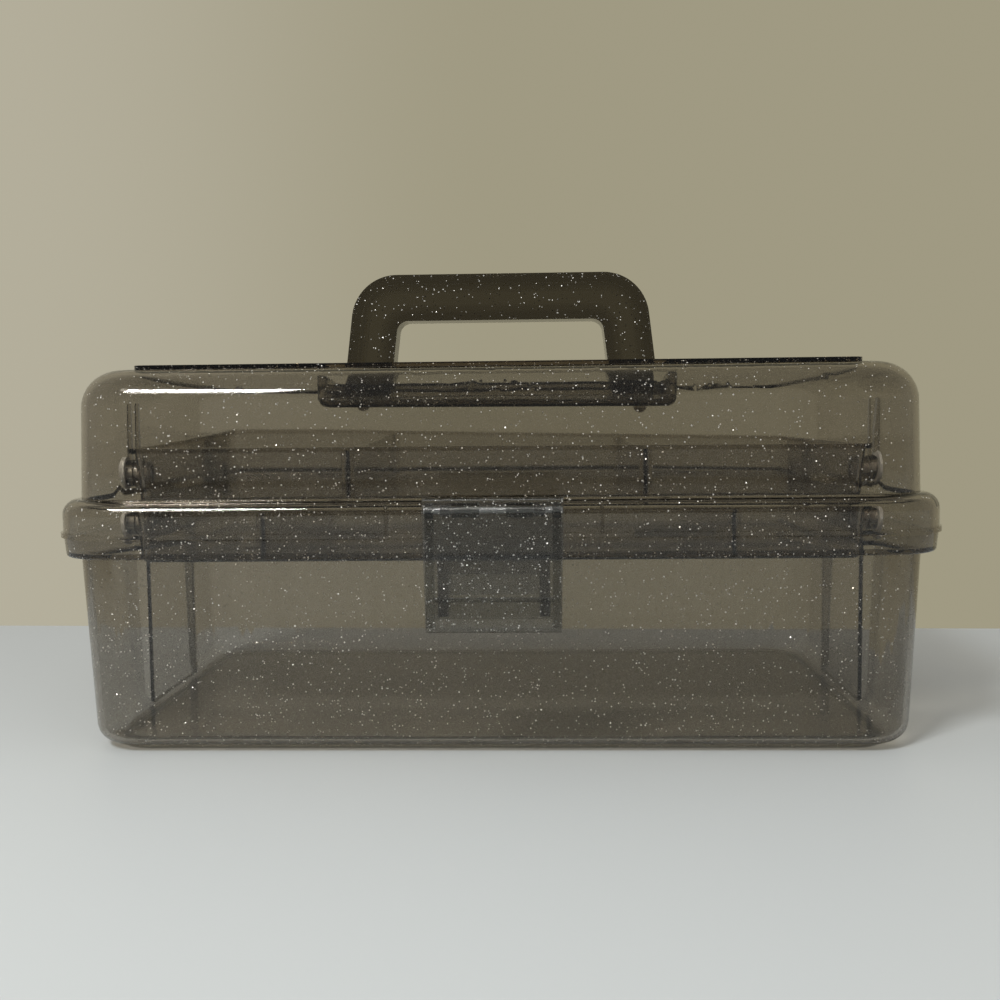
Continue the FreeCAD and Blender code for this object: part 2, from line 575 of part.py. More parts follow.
def headed_rivet(p, x0, head_x, head_r, head_t):
    """A rivet along +X from x0, with its head's inner face at head_x."""
    return fuse([rod(at_x(p, x0), RIVET_R, head_x - x0 + head_t / 2), rod(at_x(p, head_x), head_r, head_t)])


def front_rivets(p):
    """Rivets fixed in a tray's front bosses; a link turns on each."""
    inner = TRAY_HALF_X - TRAY_WALL
    return both_sides(headed_rivet(p, inner, LINK_X + LINK_T + SIDE, RIVET_HEAD_R, RIVET_HEAD_T))


def rear_rivets(p):
    """Rivets fixed in the lid's brackets; a tray turns on each."""
    inner = TRAY_HALF_X - TRAY_WALL
    return both_sides(headed_rivet(p, inner, LINK_X + LINK_T, LINK_R, RIVET_HEAD_T))


def pivot_rivets():
    """Rivets fixed in the base's tabs; a link turns on each."""
    found = []
    for p in (LONG_PIVOT, SHORT_PIVOT):
        found += both_sides(headed_rivet(p, LINK_X, TAB_X + WALL, LINK_R - 1, 1.0))
    return found


def link(a, b):
    """A flat link between two pivots, with a raised rim round each eye."""
    parts = [rod(at_x(p, LINK_X), LINK_R, LINK_T) for p in (a, b)]
    way = V(0, b.y - a.y, b.z - a.z)
    side = V(0, -way.z, way.y).normalize() * (LINK_R - 1.2)
    corners = [a + side, b + side, b - side, a - side]
    parts.append(prism([(c.y, c.z) for c in corners], "x", LINK_X + 0.4, LINK_T - 0.8))
    shape = fuse(parts)
    for p in (a, b):
        shape = shape.cut(rod(at_x(p, LINK_X - 1), RIVET_R + RUN, LINK_T + 2))
    return shape


save(base_box(), "base_box")
save(Part.makeCompound(hinge_pins()), "hinge_pins")
save(Part.makeCompound(pivot_rivets()), "base_rivets")
save(lid_shell(), "lid_shell")
for side, shape in zip(("right", "left"), both_sides(lid_bracket())):
    save(shape, "lid_bracket_" + side)
save(Part.makeCompound(rear_rivets(UPPER_REAR) + rear_rivets(LOWER_REAR)), "lid_rivets")
save(Part.makeCompound(handle_pins()), "handle_pins")
save(latch_pin(), "latch_pin")
save(carry_handle(), "carry_handle")
save(front_latch(), "front_latch")
LEVELS = {"upper": (UPPER_Z, UPPER_FRONT, UPPER_REAR), "lower": (LOWER_Z, LOWER_FRONT, LOWER_REAR)}
for level, (z, front, rear) in LEVELS.items():
    save(tray(z, (front, rear), DIVIDER_X[level]), level + "_tray")
    save(Part.makeCompound(front_rivets(front)), level + "_tray_rivets")
    for side, sign in (("right", 1), ("left", -1)):
        save(divider(sign * DIVIDER_X[level], z), "%s_divider_%s" % (level, side))
for name, a, b in (("long", LONG_PIVOT, UPPER_FRONT), ("short", SHORT_PIVOT, LOWER_FRONT)):
    for side, shape in zip(("right", "left"), both_sides(link(a, b))):
        save(shape, "%s_link_%s" % (name, side))
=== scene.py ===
# %% [markdown]
# A folding storage case in clear smoked plastic with silver glitter in it. The solid shapes come from the
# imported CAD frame. This script gives them smooth shading, their finishes and the glitter, and sets them on
# a table in soft light. Everything is in metres in the frame's own axes: +X right, the latch faces -Y, +Z
# up.
# %% Setup
import json
import math

import bmesh
import bpy
import numpy as np
from mathutils import Matrix, Vector
from mathutils.bvhtree import BVHTree


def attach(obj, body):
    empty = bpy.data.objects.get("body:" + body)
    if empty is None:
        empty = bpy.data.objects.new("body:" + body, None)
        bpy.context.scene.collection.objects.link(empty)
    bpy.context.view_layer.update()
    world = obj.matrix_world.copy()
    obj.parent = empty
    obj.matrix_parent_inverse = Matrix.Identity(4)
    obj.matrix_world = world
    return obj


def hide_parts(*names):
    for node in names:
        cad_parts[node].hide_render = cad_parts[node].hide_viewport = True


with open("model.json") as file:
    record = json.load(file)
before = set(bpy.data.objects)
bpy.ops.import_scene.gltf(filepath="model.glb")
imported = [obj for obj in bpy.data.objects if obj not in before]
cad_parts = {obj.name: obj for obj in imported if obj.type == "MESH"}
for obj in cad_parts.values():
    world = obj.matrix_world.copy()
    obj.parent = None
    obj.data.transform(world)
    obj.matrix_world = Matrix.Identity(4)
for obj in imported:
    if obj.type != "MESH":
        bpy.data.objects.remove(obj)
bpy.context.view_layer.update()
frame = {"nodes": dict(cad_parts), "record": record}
NODES = frame["nodes"]
RECORD = frame["record"]
BODY_OF = {n: b for b, ns in RECORD["behaviour"]["bodies"].items() for n in ns}
SLOT_OF = {p["node"]: p["material_slot"] for p in RECORD["subparts"]}
MM = 0.001
scene = bpy.context.scene
scene.view_settings.view_transform = "Standard"

# %% [markdown]
# The camera stands low in front, a little to the right, and looks almost level, so the near rim looks wider
# than the far one and the table shows as a band under the case. Its turn could be made with a constraint
# that tracks the case. Three plain angles hold it as well, and also give the slight roll.
# %% Camera
CAMERA_AT = Vector((15.7, -483.8, 121.7)) * MM
CAMERA_YAW = 0.0345
CAMERA_PITCH = -0.0697
CAMERA_ROLL = -0.0106
FOCAL_MM, SENSOR_MM = 39.13, 36.0
NEAREST = 10 * MM


def add_camera():
    data = bpy.data.cameras.new("camera")
    data.lens = FOCAL_MM
    data.sensor_width = SENSOR_MM
    data.clip_start = NEAREST
    camera = bpy.data.objects.new("camera", data)
    scene.collection.objects.link(camera)
    turn = Matrix.Rotation(CAMERA_YAW, 4, "Z") @ Matrix.Rotation(math.pi / 2 + CAMERA_PITCH, 4, "X")
    camera.matrix_world = Matrix.Translation(CAMERA_AT) @ turn @ Matrix.Rotation(CAMERA_ROLL, 4, "Z")
    scene.camera = camera
    return camera


camera = add_camera()
print("camera at", [round(v, 3) for v in camera.location])

# %% [markdown]
# Every finish here is a small network of shader nodes, and the same few steps come back in all of them: a
# noise over the piece, a range that takes one value to another, a mix of two colours. They could be laid
# out again in each material. As helpers they leave each finish only what is its own.
# %% Node helpers


def shader_tree(name):
    """A new material, its node tree and its Principled shader."""
    material = bpy.data.materials.new(name)
    material.use_nodes = True
    return material, material.node_tree, material.node_tree.nodes["Principled BSDF"]


def give(tree, value, socket):
    """Links the value to the socket where it is another node's output, and sets it there otherwise."""
    if hasattr(value, "is_output"):
        tree.links.new(value, socket)
    else:
        socket.default_value = (*value, 1) if isinstance(value, tuple) else value


def noise(tree, place, scale, detail=2.0, stretch=(1, 1, 1)):
    """A noise over the coordinates that place gives, stretched first."""
    mapping = tree.nodes.new("ShaderNodeMapping")
    mapping.inputs["Scale"].default_value = stretch
    texture = tree.nodes.new("ShaderNodeTexNoise")
    texture.inputs["Scale"].default_value = scale
    texture.inputs["Detail"].default_value = detail
    tree.links.new(place, mapping.inputs["Vector"])
    tree.links.new(mapping.outputs[0], texture.inputs["Vector"])
    return texture.outputs["Fac"]


def ranged(tree, value, old, new=(0.0, 1.0), ease=False):
    """The value taken from the old range to the new one, evenly or with soft ends."""
    node = tree.nodes.new("ShaderNodeMapRange")
    node.interpolation_type = "SMOOTHSTEP" if ease else "LINEAR"
    for title, limit in zip(("From Min", "From Max", "To Min", "To Max"), (*old, *new)):
        give(tree, limit, node.inputs[title])
    tree.links.new(value, node.inputs["Value"])
    return node.outputs["Result"]


def colour_mix(tree, factor, a, b):
    """Colour a where the factor is 0 and b where it is 1."""
    node = tree.nodes.new("ShaderNodeMix")
    node.data_type = "RGBA"
    give(tree, a, node.inputs["A"])
    give(tree, b, node.inputs["B"])
    tree.links.new(factor, node.inputs["Factor"])
    return node.outputs["Result"]


print("helpers:", [f.__name__ for f in (shader_tree, give, noise, ranged, colour_mix)])

# %% [markdown]
# Four more steps are smaller still: one axis of a place, one sum, a mix of two shaders, and the coordinates
# themselves. Object coordinates suit every piece here, because each keeps its place in its mesh.
# %% More node helpers


def object_place(tree):
    return tree.nodes.new("ShaderNodeTexCoord").outputs["Object"]


def along(tree, place, axis):
    """One axis of a place or a direction."""
    split = tree.nodes.new("ShaderNodeSeparateXYZ")
    tree.links.new(place, split.inputs[0])
    return split.outputs[axis]


def maths(tree, operation, *values):
    """One step of arithmetic on numbers or on other nodes' outputs."""
    node = tree.nodes.new("ShaderNodeMath")
    node.operation = operation
    for value, socket in zip(values, node.inputs):
        give(tree, value, socket)
    return node.outputs[0]


def shader_mix(tree, factor, a, b):
    """Shader a where the factor is 0 and b where it is 1."""
    node = tree.nodes.new("ShaderNodeMixShader")
    for output, socket in zip((factor, a, b), node.inputs):
        tree.links.new(output, socket)
    return node.outputs[0]


print("helpers:", [f.__name__ for f in (object_place, along, maths, shader_mix)])

# %% [markdown]
# The table is pale and a little uneven. Its paint could be one grey, but a grey plane under a clear case
# looks cut out of paper. So a soft noise changes the colour at random, and a painted shade darkens it
# towards the back, by the wall, so that it grows paler towards the front.
# %% Table paint
TABLE_BACK_SHADED = (0.45, 0.465, 0.45)
TABLE_FRONT_LIT = (0.535, 0.555, 0.54)
TABLE_SHADE_FADE_Y = (0.12, -0.18)
TABLE_CLOUDS = 3.0
TABLE_CLOUD_SHARE = 0.2
TABLE_ROUGHNESS = 0.5


def table_paint():
    material, tree, shader = shader_tree("table_top")
    place = object_place(tree)
    # Painted shade: the table darkens towards the back by the wall and is paler in front, where more light
    # falls.
    near = ranged(tree, along(tree, place, "Y"), TABLE_SHADE_FADE_Y, ease=True)
    shade = maths(tree, "MULTIPLY_ADD", noise(tree, place, TABLE_CLOUDS), TABLE_CLOUD_SHARE, near)
    tree.links.new(colour_mix(tree, shade, TABLE_BACK_SHADED, TABLE_FRONT_LIT), shader.inputs["Base Color"])
    shader.inputs["Roughness"].default_value = TABLE_ROUGHNESS
    return material


TABLE_PAINT = table_paint()
print("table paint:", len(TABLE_PAINT.node_tree.nodes), "shader nodes")

# %% [markdown]
# The table top has a straight back edge that runs slightly askew. It could be a slab with legs, but nothing
# of it shows but its top, so a plane is enough.
# %% Table
TABLE_BACK_Y = 0.162
TABLE_SKEW = -0.038
TABLE_HALF = 3.0
TABLE_FRONT_Y = -2.5


def deselect():
    bpy.ops.object.select_all(action="DESELECT")


def add_table():
    deselect()
    bpy.ops.mesh.primitive_plane_add(size=1, location=(0, 0, 0))
    table = bpy.context.object
    table.name = "table"
    for v in table.data.vertices:
        v.co.x *= 2 * TABLE_HALF
        v.co.y = TABLE_BACK_Y + TABLE_SKEW * v.co.x if v.co.y > 0 else TABLE_FRONT_Y
    table.data.materials.append(TABLE_PAINT)
    return table


table = add_table()
print("table back edge at y", TABLE_BACK_Y)

# %% [markdown]
# Behind the table is a warm, pale wall, with a painted light that makes it lighter on the left, the side
# of the lamp. It could be a second plane, but then it would shade the case and end at a view from the side.
# As the world's colour it fills every view. Clear plastic and gloss show it only towards the back: overhead
# and in front the room is dim, which keeps the smoked grey deep. What lights the case is a separate, plain
# white level.
# %% Wall and room light
WALL_LEFT_LIT = (0.455, 0.425, 0.330)
WALL_RIGHT_SHADED = (0.350, 0.322, 0.226)
WALL_LIGHT_SWEEP_X = (-0.46, -0.02)
WALL_BEHIND_Y = (-0.1, 0.8)
DIM_ROOM = (0.20, 0.20, 0.195)
ROOM_WHITE = (0.97, 0.98, 1.0)
ROOM_LIGHT = 0.62


def background(tree, colour):
    node = tree.nodes.new("ShaderNodeBackground")
    tree.links.new(colour, node.inputs["Color"])
    return node.outputs[0]


def add_world():
    world = bpy.data.worlds.new("room")
    scene.world = world
    world.use_nodes = True
    tree = world.node_tree
    light = tree.nodes["Background"]
    give(tree, ROOM_WHITE, light.inputs["Color"])
    give(tree, ROOM_LIGHT, light.inputs["Strength"])
    way = tree.nodes.new("ShaderNodeTexCoord").outputs["Generated"]
    # Painted light: the wall is lighter on the left, the side of the lamp, and darker to the right.
    light_sweep = ranged(tree, along(tree, way, "X"), WALL_LIGHT_SWEEP_X, ease=True)
    wall = colour_mix(tree, light_sweep, WALL_LEFT_LIT, WALL_RIGHT_SHADED)
    behind = ranged(tree, along(tree, way, "Y"), WALL_BEHIND_Y, ease=True)
    shown = background(tree, colour_mix(tree, behind, DIM_ROOM, wall))
    path = tree.nodes.new("ShaderNodeLightPath").outputs
    plain = shader_mix(tree, path["Is Camera Ray"], light.outputs[0], background(tree, wall))
    clear = maths(tree, "MAXIMUM", path["Is Glossy Ray"], path["Is Transmission Ray"])
    tree.links.new(shader_mix(tree, clear, plain, shown), tree.nodes["World Output"].inputs["Surface"])
    return world


world = add_world()
print("wall and room light:", len(world.node_tree.nodes), "shader nodes")

# %% [markdown]
# One long lamp high on the left in front makes the thin white lines along the rounded edges. A sun would
# light the case as well, but its mirror image is a point. A line is as thick as the lamp looks from the
# plastic, so an area lamp is used, narrow one way and long the other.
# %% Lamp
KEY_AT = (-0.46, -0.80, 0.98)
KEY_AIM = (-0.05, 0, 0.12)
KEY_SIZE = (0.27, 0.15)
KEY_POWER = 12.0


def add_lamp(name, at, aim, size, power):
    data = bpy.data.lights.new(name, "AREA")
    data.shape = "RECTANGLE"
    data.size, data.size_y = size
    data.energy = power
    lamp = bpy.data.objects.new(name, data)
    scene.collection.objects.link(lamp)
    lamp.location = at
    lamp.rotation_euler = (Vector(aim) - Vector(at)).to_track_quat("-Z", "Y").to_euler()
    return lamp


lamp = add_lamp("key_lamp", KEY_AT, KEY_AIM, KEY_SIZE, KEY_POWER)
print("lamp:", lamp.name, KEY_POWER, "W")

# %% [markdown]
# Moulded plastic is never quite even: the melt flows in long soft streaks, the mould leaves a very faint
# waviness, and handling dulls it in patches. Each plastic could carry its own noises. One node group gives
# them all the same surface instead, and each places it with its own tints and gloss.
# %% Moulded surface
CLOUDS, CLOUD_EDGES = 14.0, (0.3, 0.7)
STREAKS, STREAK_DETAIL, STREAK_STRETCH = 40.0, 3.0, (0.35, 1, 1)
STREAK_EDGES, STREAK_DEPTH = (0.35, 0.65), (0.4, 1.0)
WAVES, WAVE_DETAIL = 160.0, 1.0
HANDLING, HANDLING_DETAIL, HANDLING_EDGES = 60.0, 6.0, (0.4, 0.75)


def add_group(name, inputs, outputs):
    """A shader node group with (name, type, default) inputs and (name, type) outputs."""
    group = bpy.data.node_groups.new(name, "ShaderNodeTree")
    for title, kind, value in inputs:
        socket = group.interface.new_socket(title, in_out="INPUT", socket_type="NodeSocket" + kind)
        socket.default_value = value
    for title, kind in outputs:
        group.interface.new_socket(title, in_out="OUTPUT", socket_type="NodeSocket" + kind)
    return group, group.nodes.new("NodeGroupInput").outputs, group.nodes.new("NodeGroupOutput").inputs


def moulded_surface():
    tints = [("Pale", "Color", (1, 1, 1, 1)), ("Deep", "Color", (0.9, 0.9, 0.9, 1))]
    gloss = [("Gloss Low", "Float", 0.03), ("Gloss High", "Float", 0.09)]
    group, given, out = add_group("moulded_surface", tints + gloss,
                                  [("Colour", "Color"), ("Roughness", "Float"), ("Height", "Float")])
    place = object_place(group)
    cloud = ranged(group, noise(group, place, CLOUDS), CLOUD_EDGES)
    streak = noise(group, place, STREAKS, STREAK_DETAIL, STREAK_STRETCH)
    flow = maths(group, "MULTIPLY", cloud, ranged(group, streak, STREAK_EDGES, STREAK_DEPTH))
    handled = noise(group, place, HANDLING, HANDLING_DETAIL)
    rough = ranged(group, handled, HANDLING_EDGES, (given["Gloss Low"], given["Gloss High"]))
    group.links.new(colour_mix(group, flow, given["Pale"], given["Deep"]), out["Colour"])
    group.links.new(rough, out["Roughness"])
    group.links.new(noise(group, place, WAVES, WAVE_DETAIL), out["Height"])
    return group


MOULDED = moulded_surface()
print("group:", MOULDED.name, [s.name for s in MOULDED.interface.items_tree])

# %% [markdown]
# Smoked plastic takes its grey from its depth: a thin wall looks light, the same wall seen edge-on looks
# almost black, and the thick handle is dark all over. A grey surface with the light let through could stand
# for it, but then thick and thin would look the same. So the tint is an absorption inside the solid, and
# the surface takes only a small share. A lamp's light passes through: to shadow rays the surface is a plain
# film.
# %% Smoked plastic
WALL_T = 2 * MM
SKIN = 0.82
FILM = 0.93
GLOSS = (0.03, 0.07)
STREAK_TINT = (0.95, 0.95, 0.94)
REFRACTION = 1.49
RELIEF, RELIEF_STRENGTH = 0.000003, 0.4


def moulded(tree, shader, pale, deep, gloss):
    """Places the moulded surface with its tints and gloss, and links its colour and roughness."""
    surface = tree.nodes.new("ShaderNodeGroup")
    surface.node_tree = MOULDED
    for title, value in (("Pale", pale), ("Deep", deep), ("Gloss Low", gloss[0]), ("Gloss High", gloss[1])):
        give(tree, value, surface.inputs[title])
    tree.links.new(surface.outputs["Colour"], shader.inputs["Base Color"])
    tree.links.new(surface.outputs["Roughness"], shader.inputs["Roughness"])
    return surface


def absorb(tree, through):
    """A plain absorption that lets the share through of each colour pass a wall of WALL_T."""
    taken = [-math.log(c) / WALL_T for c in through]
    density = max(taken)
    inside = tree.nodes.new("ShaderNodeVolumeAbsorption")
    inside.inputs["Color"].default_value = (*(1 - t / density for t in taken), 1)
    inside.inputs["Density"].default_value = density
    tree.links.new(inside.outputs[0], tree.nodes["Material Output"].inputs["Volume"])


def smoked_plastic(name, through, skin=SKIN, gloss=GLOSS):
    """A clear plastic. A wall lets the shares through pass, and its surface alone the share skin."""
    material, tree, shader = shader_tree(name)
    surface = moulded(tree, shader, (skin,) * 3, tuple(c * skin for c in STREAK_TINT), gloss)
    shader.inputs["IOR"].default_value = REFRACTION
    shader.inputs["Transmission Weight"].default_value = 1.0
    bump = tree.nodes.new("ShaderNodeBump")
    bump.inputs["Strength"].default_value = RELIEF_STRENGTH
    bump.inputs["Distance"].default_value = RELIEF
    tree.links.new(surface.outputs["Height"], bump.inputs["Height"])
    tree.links.new(bump.outputs["Normal"], shader.inputs["Normal"])
    film = tree.nodes.new("ShaderNodeBsdfTransparent")
    give(tree, (FILM,) * 3, film.inputs["Color"])
    shadow = tree.nodes.new("ShaderNodeLightPath").outputs["Is Shadow Ray"]
    both = shader_mix(tree, shadow, shader.outputs[0], film.outputs[0])
    tree.links.new(both, tree.nodes["Material Output"].inputs["Surface"])
    absorb(tree, [c / skin for c in through])
    return material


print("smoked plastic: a wall of", WALL_T, "m is the measure of its tint")

# %% [markdown]
# The case is moulded in several shades of the same smoke. The shell, the trays, the handle and the small
# parts differ a little, and the latch is darker. The rivets are milky, without the pigment, so they are a
# cloudy surface and no glass. Each finish is keyed by the record's material slot; the base has one more of
# its own.
# %% Plastics
MILKY_PALE, MILKY_DEEP = (0.42, 0.405, 0.365), (0.36, 0.345, 0.31)
MILKY_GLOSS = (0.35, 0.5)


def milky_plastic(name):
    material, tree, shader = shader_tree(name)
    moulded(tree, shader, MILKY_PALE, MILKY_DEEP, MILKY_GLOSS)
    return material


FINISH = {
    "smoke_plastic": smoked_plastic("smoke_shell", (0.65, 0.63, 0.595)),
    "tray_plastic": smoked_plastic("smoke_tray", (0.68, 0.66, 0.63)),
    "handle_plastic": smoked_plastic("smoke_handle", (0.655, 0.64, 0.60), skin=0.98),
    "latch_plastic": smoked_plastic("smoke_latch", (0.53, 0.53, 0.515), gloss=(0.1, 0.16)),
    "clear_grey_parts": smoked_plastic("smoke_small_parts", (0.68, 0.665, 0.64)),
    "pale_plastic": milky_plastic("milky_rivets"),
}
BASE_FINISH = smoked_plastic("smoke_base", (0.60, 0.58, 0.545))
print("plastics:", len(FINISH) + 1)

# %% [markdown]
# The hinge pins and the latch's pin are drawn steel wire. Drawing leaves fine lines along the wire. They
# could be cut as grooves, but they are finer than a hair, so a noise stretched along X makes the roughness,
# the tone and a slight relief.
# %% Drawn steel wire
WIRE_DARK, WIRE_PALE = (0.50, 0.50, 0.50), (0.66, 0.66, 0.67)
WIRE_ROUGHNESS = (0.22, 0.42)
WIRE_LINES, WIRE_STRETCH = 6000.0, (0.02, 1, 1)
WIRE_RELIEF, WIRE_RELIEF_STRENGTH = 0.00002, 0.3


def drawn_wire():
    material, tree, shader = shader_tree("drawn_wire")
    lines = noise(tree, object_place(tree), WIRE_LINES, stretch=WIRE_STRETCH)
    bump = tree.nodes.new("ShaderNodeBump")
    bump.inputs["Strength"].default_value = WIRE_RELIEF_STRENGTH
    bump.inputs["Distance"].default_value = WIRE_RELIEF
    tree.links.new(lines, bump.inputs["Height"])
    tree.links.new(ranged(tree, lines, (0.0, 1.0), WIRE_ROUGHNESS), shader.inputs["Roughness"])
    tree.links.new(colour_mix(tree, lines, WIRE_DARK, WIRE_PALE), shader.inputs["Base Color"])
    tree.links.new(bump.outputs["Normal"], shader.inputs["Normal"])
    shader.inputs["Metallic"].default_value = 1.0
    return material


FINISH["steel_pin"] = drawn_wire()
for name, node in NODES.items():
    node.data.materials.clear()
    node.data.materials.append(BASE_FINISH if name == "base_box" else FINISH[SLOT_OF[name]])
print("finishes:", len(FINISH) + 1, "on", len(NODES), "nodes")

# %% [markdown]
# A moulding's rounds are meshed in uneven triangles. Normals averaged over such triangles wobble, and clear
# plastic shows that as ragged lines. More triangles wouldn't cure it. Their points lie true, though, so a
# quadric fitted through the points around each one gives a steady normal. These are the faces around a
# point and the next ones out, as far as the surface runs on smoothly.
# %% Faces around a point


def smooth_fan(start, vertex):
    """The faces around a vertex that hang together over smooth edges."""
    fan, todo = {start}, [start]
    while todo:
        for edge in todo.pop().edges:
            if edge.smooth and vertex in edge.verts:
                more = [f for f in edge.link_faces if f not in fan]
                fan.update(more)
                todo += more
    return fan


def grown(faces):
    """The faces, and the triangles next to them over smooth edges."""
    found = set(faces)
    for face in faces:
        for edge in face.edges:
            if edge.smooth:
                found.update(f for f in edge.link_faces if len(f.verts) == 3)
    return found


print("helpers:", [f.__name__ for f in (smooth_fan, grown)])

# %% [markdown]
# The fit itself is made in a frame that stands on the point with Z along the normal so far, where the
# surface is nearly flat and its height is a simple function of X and Y. Near points weigh more than far
# ones. A fit that would turn the normal by more than a few degrees has met a corner, and is left out.
# %% Fitted normals
FIT_RINGS = 2
FIT_SOFTNESS = 0.1
FIT_CUTOFF = 1e-6
FIT_MOST_DEG = 8


def fitted_normal(vertex, fan, guess):
    """The normal at a vertex of a quadric through the points of its fan and the faces next to it."""
    faces = fan
    for _ in range(FIT_RINGS):
        faces = grown(faces)
    near = {v for f in faces for v in f.verts} - {vertex}
    points = np.array([v.co for v in sorted(near, key=lambda v: v.index)])
    turn = np.array(Vector(guess).to_track_quat("Z", "Y").to_matrix())
    x, y, z = ((points - np.array(vertex.co)) @ turn).T
    size = np.sqrt(np.mean(x * x + y * y))
    x, y, z = x / size, y / size, z / size
    weight = 1 / (FIT_SOFTNESS + x * x + y * y)
    terms = np.stack([x, y, x * x, x * y, y * y], axis=1)
    a, b = np.linalg.lstsq(terms * weight[:, None], z * weight, rcond=FIT_CUTOFF)[0][:2]
    found = turn @ np.array((-a, -b, 1.0))
    return found / np.linalg.norm(found)


def steady_normals(mesh):
    """Sets fitted normals where a rounded surface is meshed in free triangles, and returns how many."""
    grid = bmesh.new()
    grid.from_mesh(mesh)
    normals = [tuple(c.vector) for c in mesh.corner_normals]
    done = 0
    for vertex in grid.verts:
        left = set(vertex.link_faces)
        while left:
            fan = smooth_fan(next(iter(left)), vertex)
            left -= fan
            if any(len(f.verts) > 3 for f in fan):
                continue
            corners = sorted(loop.index for f in fan for loop in f.loops if loop.vert is vertex)
            fitted = fitted_normal(vertex, fan, normals[corners[0]])
            if fitted @ np.array(normals[corners[0]]) > math.cos(math.radians(FIT_MOST_DEG)):
                done += 1
                for corner in corners:
                    normals[corner] = tuple(fitted)
    grid.free()
    mesh.normals_split_custom_set(normals)
    return done


print("normals fitted over", FIT_RINGS, "rings of faces")

# %% [markdown]
# The CAD solids are faceted, which shows on gloss. The plastic parts could be modelled again with smooth
# rounds, but their shape is right, and only the shading isn't. So a merged copy of each stands for its CAD
# node, shaded smooth up to its sharp edges, with normals weighted by area so that the flat walls stay flat.
# %% Smooth mouldings
MERGE = 0.000002
FLAT_DEG = 0.03
SHARP_DEG = 32
MOULDINGS = [n for n in NODES if SLOT_OF[n] != "steel_pin"]


def merged_copy(node):
    """A copy of a node with its loose triangles joined and its flat faces made whole."""
    mesh = NODES[node].data.copy()
    piece = bpy.data.objects.new(node + "_moulding", mesh)
    scene.collection.objects.link(piece)
    deselect()
    bpy.context.view_layer.objects.active = piece
    piece.select_set(True)
    if mesh.has_custom_normals:
        bpy.ops.mesh.customdata_custom_splitnormals_clear()
    bpy.ops.object.mode_set(mode="EDIT")
    bpy.ops.mesh.select_all(action="SELECT")
    bpy.ops.mesh.remove_doubles(threshold=MERGE)
    bpy.ops.mesh.dissolve_limited(angle_limit=math.radians(FLAT_DEG))
    bpy.ops.object.mode_set(mode="OBJECT")
    return piece


def smooth_copy(node):
    piece = merged_copy(node)
    bpy.ops.object.shade_smooth_by_angle(angle=math.radians(SHARP_DEG))
    weighted = piece.modifiers.new("weighted", "WEIGHTED_NORMAL")
    weighted.keep_sharp = True
    bpy.ops.object.modifier_apply(modifier=weighted.name)
    print(node, "fitted normals:", steady_normals(piece.data))
    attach(piece, BODY_OF[node])
    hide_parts(node)
    return piece


PIECES = {n: smooth_copy(n) for n in MOULDINGS}
print("smooth mouldings:", len(PIECES), "faces:", sum(len(p.data.polygons) for p in PIECES.values()))

# %% [markdown]
# Silver glitter is stirred into the melt before moulding: square-cut flakes, 0.35 to 0.5 mm across. Dots of
# noise in the plastic's colour could stand for them, but they would all lie on the surface and none would
# flash. So a flake is modelled once, as a thin cylinder of four sides, and copied.
# %% One flake
FLAKE_R = 0.36 * MM
FLAKE_T = 0.05 * MM
FLAKE_SIDES = 4


def flake_shape():
    """The vertices and faces of one flake about the origin, flat in Z."""
    deselect()
    bpy.ops.mesh.primitive_cylinder_add(vertices=FLAKE_SIDES, radius=FLAKE_R, depth=FLAKE_T)
    flake = bpy.context.object
    corners = np.array([v.co for v in flake.data.vertices])
    faces = [tuple(p.vertices) for p in flake.data.polygons]
    bpy.data.objects.remove(flake)
    return corners, faces


FLAKE = flake_shape()
print("a flake has", len(FLAKE[0]), "corners and", len(FLAKE[1]), "faces")

# %% [markdown]
# The flakes lie in the walls at all angles. A particle system could scatter them, but only on the surface.
# Here points are drawn over the triangles of the mouldings, by area and with a fixed seed, and moved
# inwards into the wall. Each is kept clear of both faces of the wall, so none sticks out.
# %% Places in the walls
FLAKE_DEPTH = (0.36 * MM, 0.8 * MM)
FLAKE_CLEAR = FLAKE_DEPTH[0] - 0.02 * MM
FLAKE_TILT_DEG = 55
FLAKE_SMALLEST = 0.7


def triangles_of(pieces):
    """Corner arrays of every triangle of the pieces."""
    found = []
    for piece in pieces:
        mesh = piece.data
        mesh.calc_loop_triangles()
        co = np.zeros(len(mesh.vertices) * 3, np.float32)
        mesh.vertices.foreach_get("co", co)
        index = np.zeros(len(mesh.loop_triangles) * 3, np.int32)
        mesh.loop_triangles.foreach_get("vertices", index)
        found.append(co.reshape(-1, 3)[index.reshape(-1, 3)])
    return np.concatenate(found).astype(float)


def points_in(tri, per_m2, draw):
    """Points inside the walls that the triangles bound, and the normals above them."""
    cross = np.cross(tri[:, 1] - tri[:, 0], tri[:, 2] - tri[:, 0])
    area = np.linalg.norm(cross, axis=1) / 2
    count = int(per_m2 * area.sum())
    chosen = draw.choice(len(tri), count, p=area / area.sum())
    a, b = draw.random(count), draw.random(count)
    fold = a + b > 1
    a[fold], b[fold] = 1 - a[fold], 1 - b[fold]
    corner, right, left = tri[chosen].transpose(1, 0, 2)
    at = corner + a[:, None] * (right - corner) + b[:, None] * (left - corner)
    normal = cross[chosen] / (2 * area[chosen, None])
    return at - normal * draw.uniform(*FLAKE_DEPTH, count)[:, None], normal


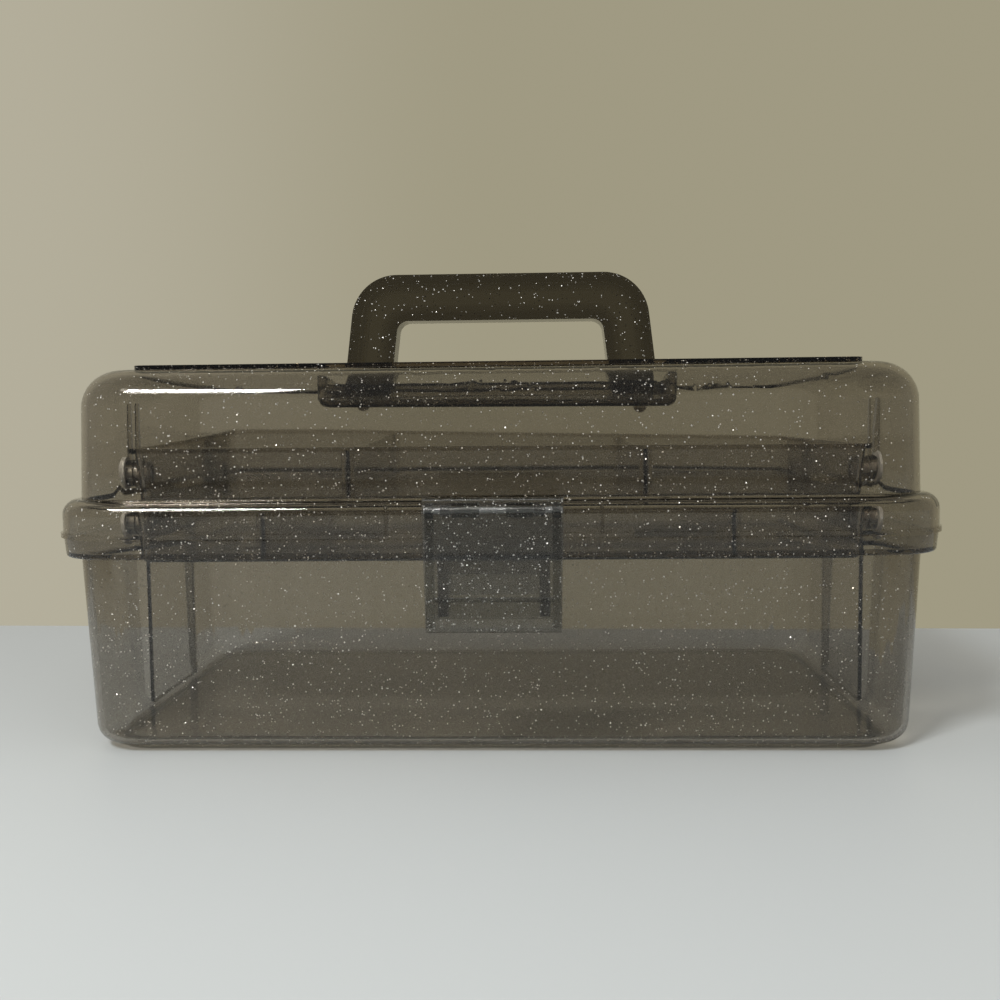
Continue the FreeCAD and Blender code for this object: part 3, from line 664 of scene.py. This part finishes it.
def places_in(pieces, per_m2, seed):
    """Points, and turns with each flake's size, for flakes inside the walls of the pieces."""
    draw = np.random.default_rng(seed)
    tri = triangles_of(pieces)
    tree = BVHTree.FromPolygons([tuple(v) for v in tri.reshape(-1, 3)],
                                [(3 * i, 3 * i + 1, 3 * i + 2) for i in range(len(tri))])
    places = []
    for p, n in zip(*points_in(tri, per_m2, draw)):
        if tree.find_nearest(Vector(p))[3] < FLAKE_CLEAR:
            continue
        tilt = Matrix.Rotation(math.radians(FLAKE_TILT_DEG) * draw.random(), 3, "X")
        spin = Matrix.Rotation(2 * math.pi * draw.random(), 3, "Z")
        turn = Vector(n).to_track_quat("Z", "Y").to_matrix()
        size = FLAKE_SMALLEST + (1 - FLAKE_SMALLEST) * draw.random() ** 2
        places.append((p, size * np.array(turn @ spin @ tilt @ spin.transposed())))
    return places


print("flakes lie", FLAKE_DEPTH, "m deep")

# %% [markdown]
# The flakes are film with a silver coat. A mirror finish would make nearly all of them black, because a
# mirror shows the dim room. So each one, an island of its mesh, gets its own roughness and a painted
# brightness, from a dull grey to white, that stands in for the glint of the flakes that catch the lamp.
# %% Silver flake finish
FLAKE_PAINTED_DULL, FLAKE_PAINTED_GLINT = (0.75, 0.74, 0.70), (1.0, 0.99, 0.96)
FLAKE_ROUGHNESS = (0.18, 0.38)
FLAKE_METAL = 0.15


def silver_flake():
    material, tree, shader = shader_tree("silver_flake")
    island = tree.nodes.new("ShaderNodeNewGeometry").outputs["Random Per Island"]
    # Painted glint: a random brightness per flake, from dull grey to white, stands in for which flakes catch
    # the lamp.
    tree.links.new(colour_mix(tree, island, FLAKE_PAINTED_DULL, FLAKE_PAINTED_GLINT), shader.inputs["Base Color"])
    tree.links.new(ranged(tree, island, (0.0, 1.0), FLAKE_ROUGHNESS), shader.inputs["Roughness"])
    shader.inputs["Metallic"].default_value = FLAKE_METAL
    return material


SILVER_FLAKE = silver_flake()
print("flake finish:", SILVER_FLAKE.name)

# %% [markdown]
# The thick handle and latch hold the most glitter for their area, and the trays the least. A body's flakes
# could each be an object, but thousands of objects would be slow to move. So they are one mesh, which rides
# on that body.
# %% Glitter
GLITTER_PER_M2 = {"base": 50000, "lid": 30000, "upper_tray": 22000, "lower_tray": 22000, "handle": 70000,
                  "latch": 75000}
FIRST_SEED = 11


def add_glitter(body, seed):
    pieces = [p for n, p in PIECES.items() if BODY_OF[n] == body]
    places = places_in(pieces, GLITTER_PER_M2[body], seed)
    corners, faces = FLAKE
    vertices = np.concatenate([p + corners @ turn.T for p, turn in places])
    step = len(corners)
    polygons = [tuple(k * step + v for v in face) for k in range(len(places)) for face in faces]
    mesh = bpy.data.meshes.new(body + "_glitter")
    mesh.from_pydata(vertices.tolist(), [], polygons)
    mesh.update()
    glitter = bpy.data.objects.new(body + "_glitter", mesh)
    scene.collection.objects.link(glitter)
    glitter.data.materials.append(SILVER_FLAKE)
    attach(glitter, body)
    print(glitter.name, len(places), "flakes")
    return glitter


GLITTER = [add_glitter(body, seed) for seed, body in enumerate(GLITTER_PER_M2, FIRST_SEED)]
print("glitter meshes:", len(GLITTER))

# %% [markdown]
# Light that crosses the whole case meets more than twenty surfaces. With the usual limits it would stop
# inside and the middle of the case would turn black, so paths are allowed to go that deep.
# %% Light paths
scene.cycles.max_bounces = 36
scene.cycles.transmission_bounces = 36
scene.cycles.transparent_max_bounces = 48
print("light paths:", scene.cycles.max_bounces, "bounces")
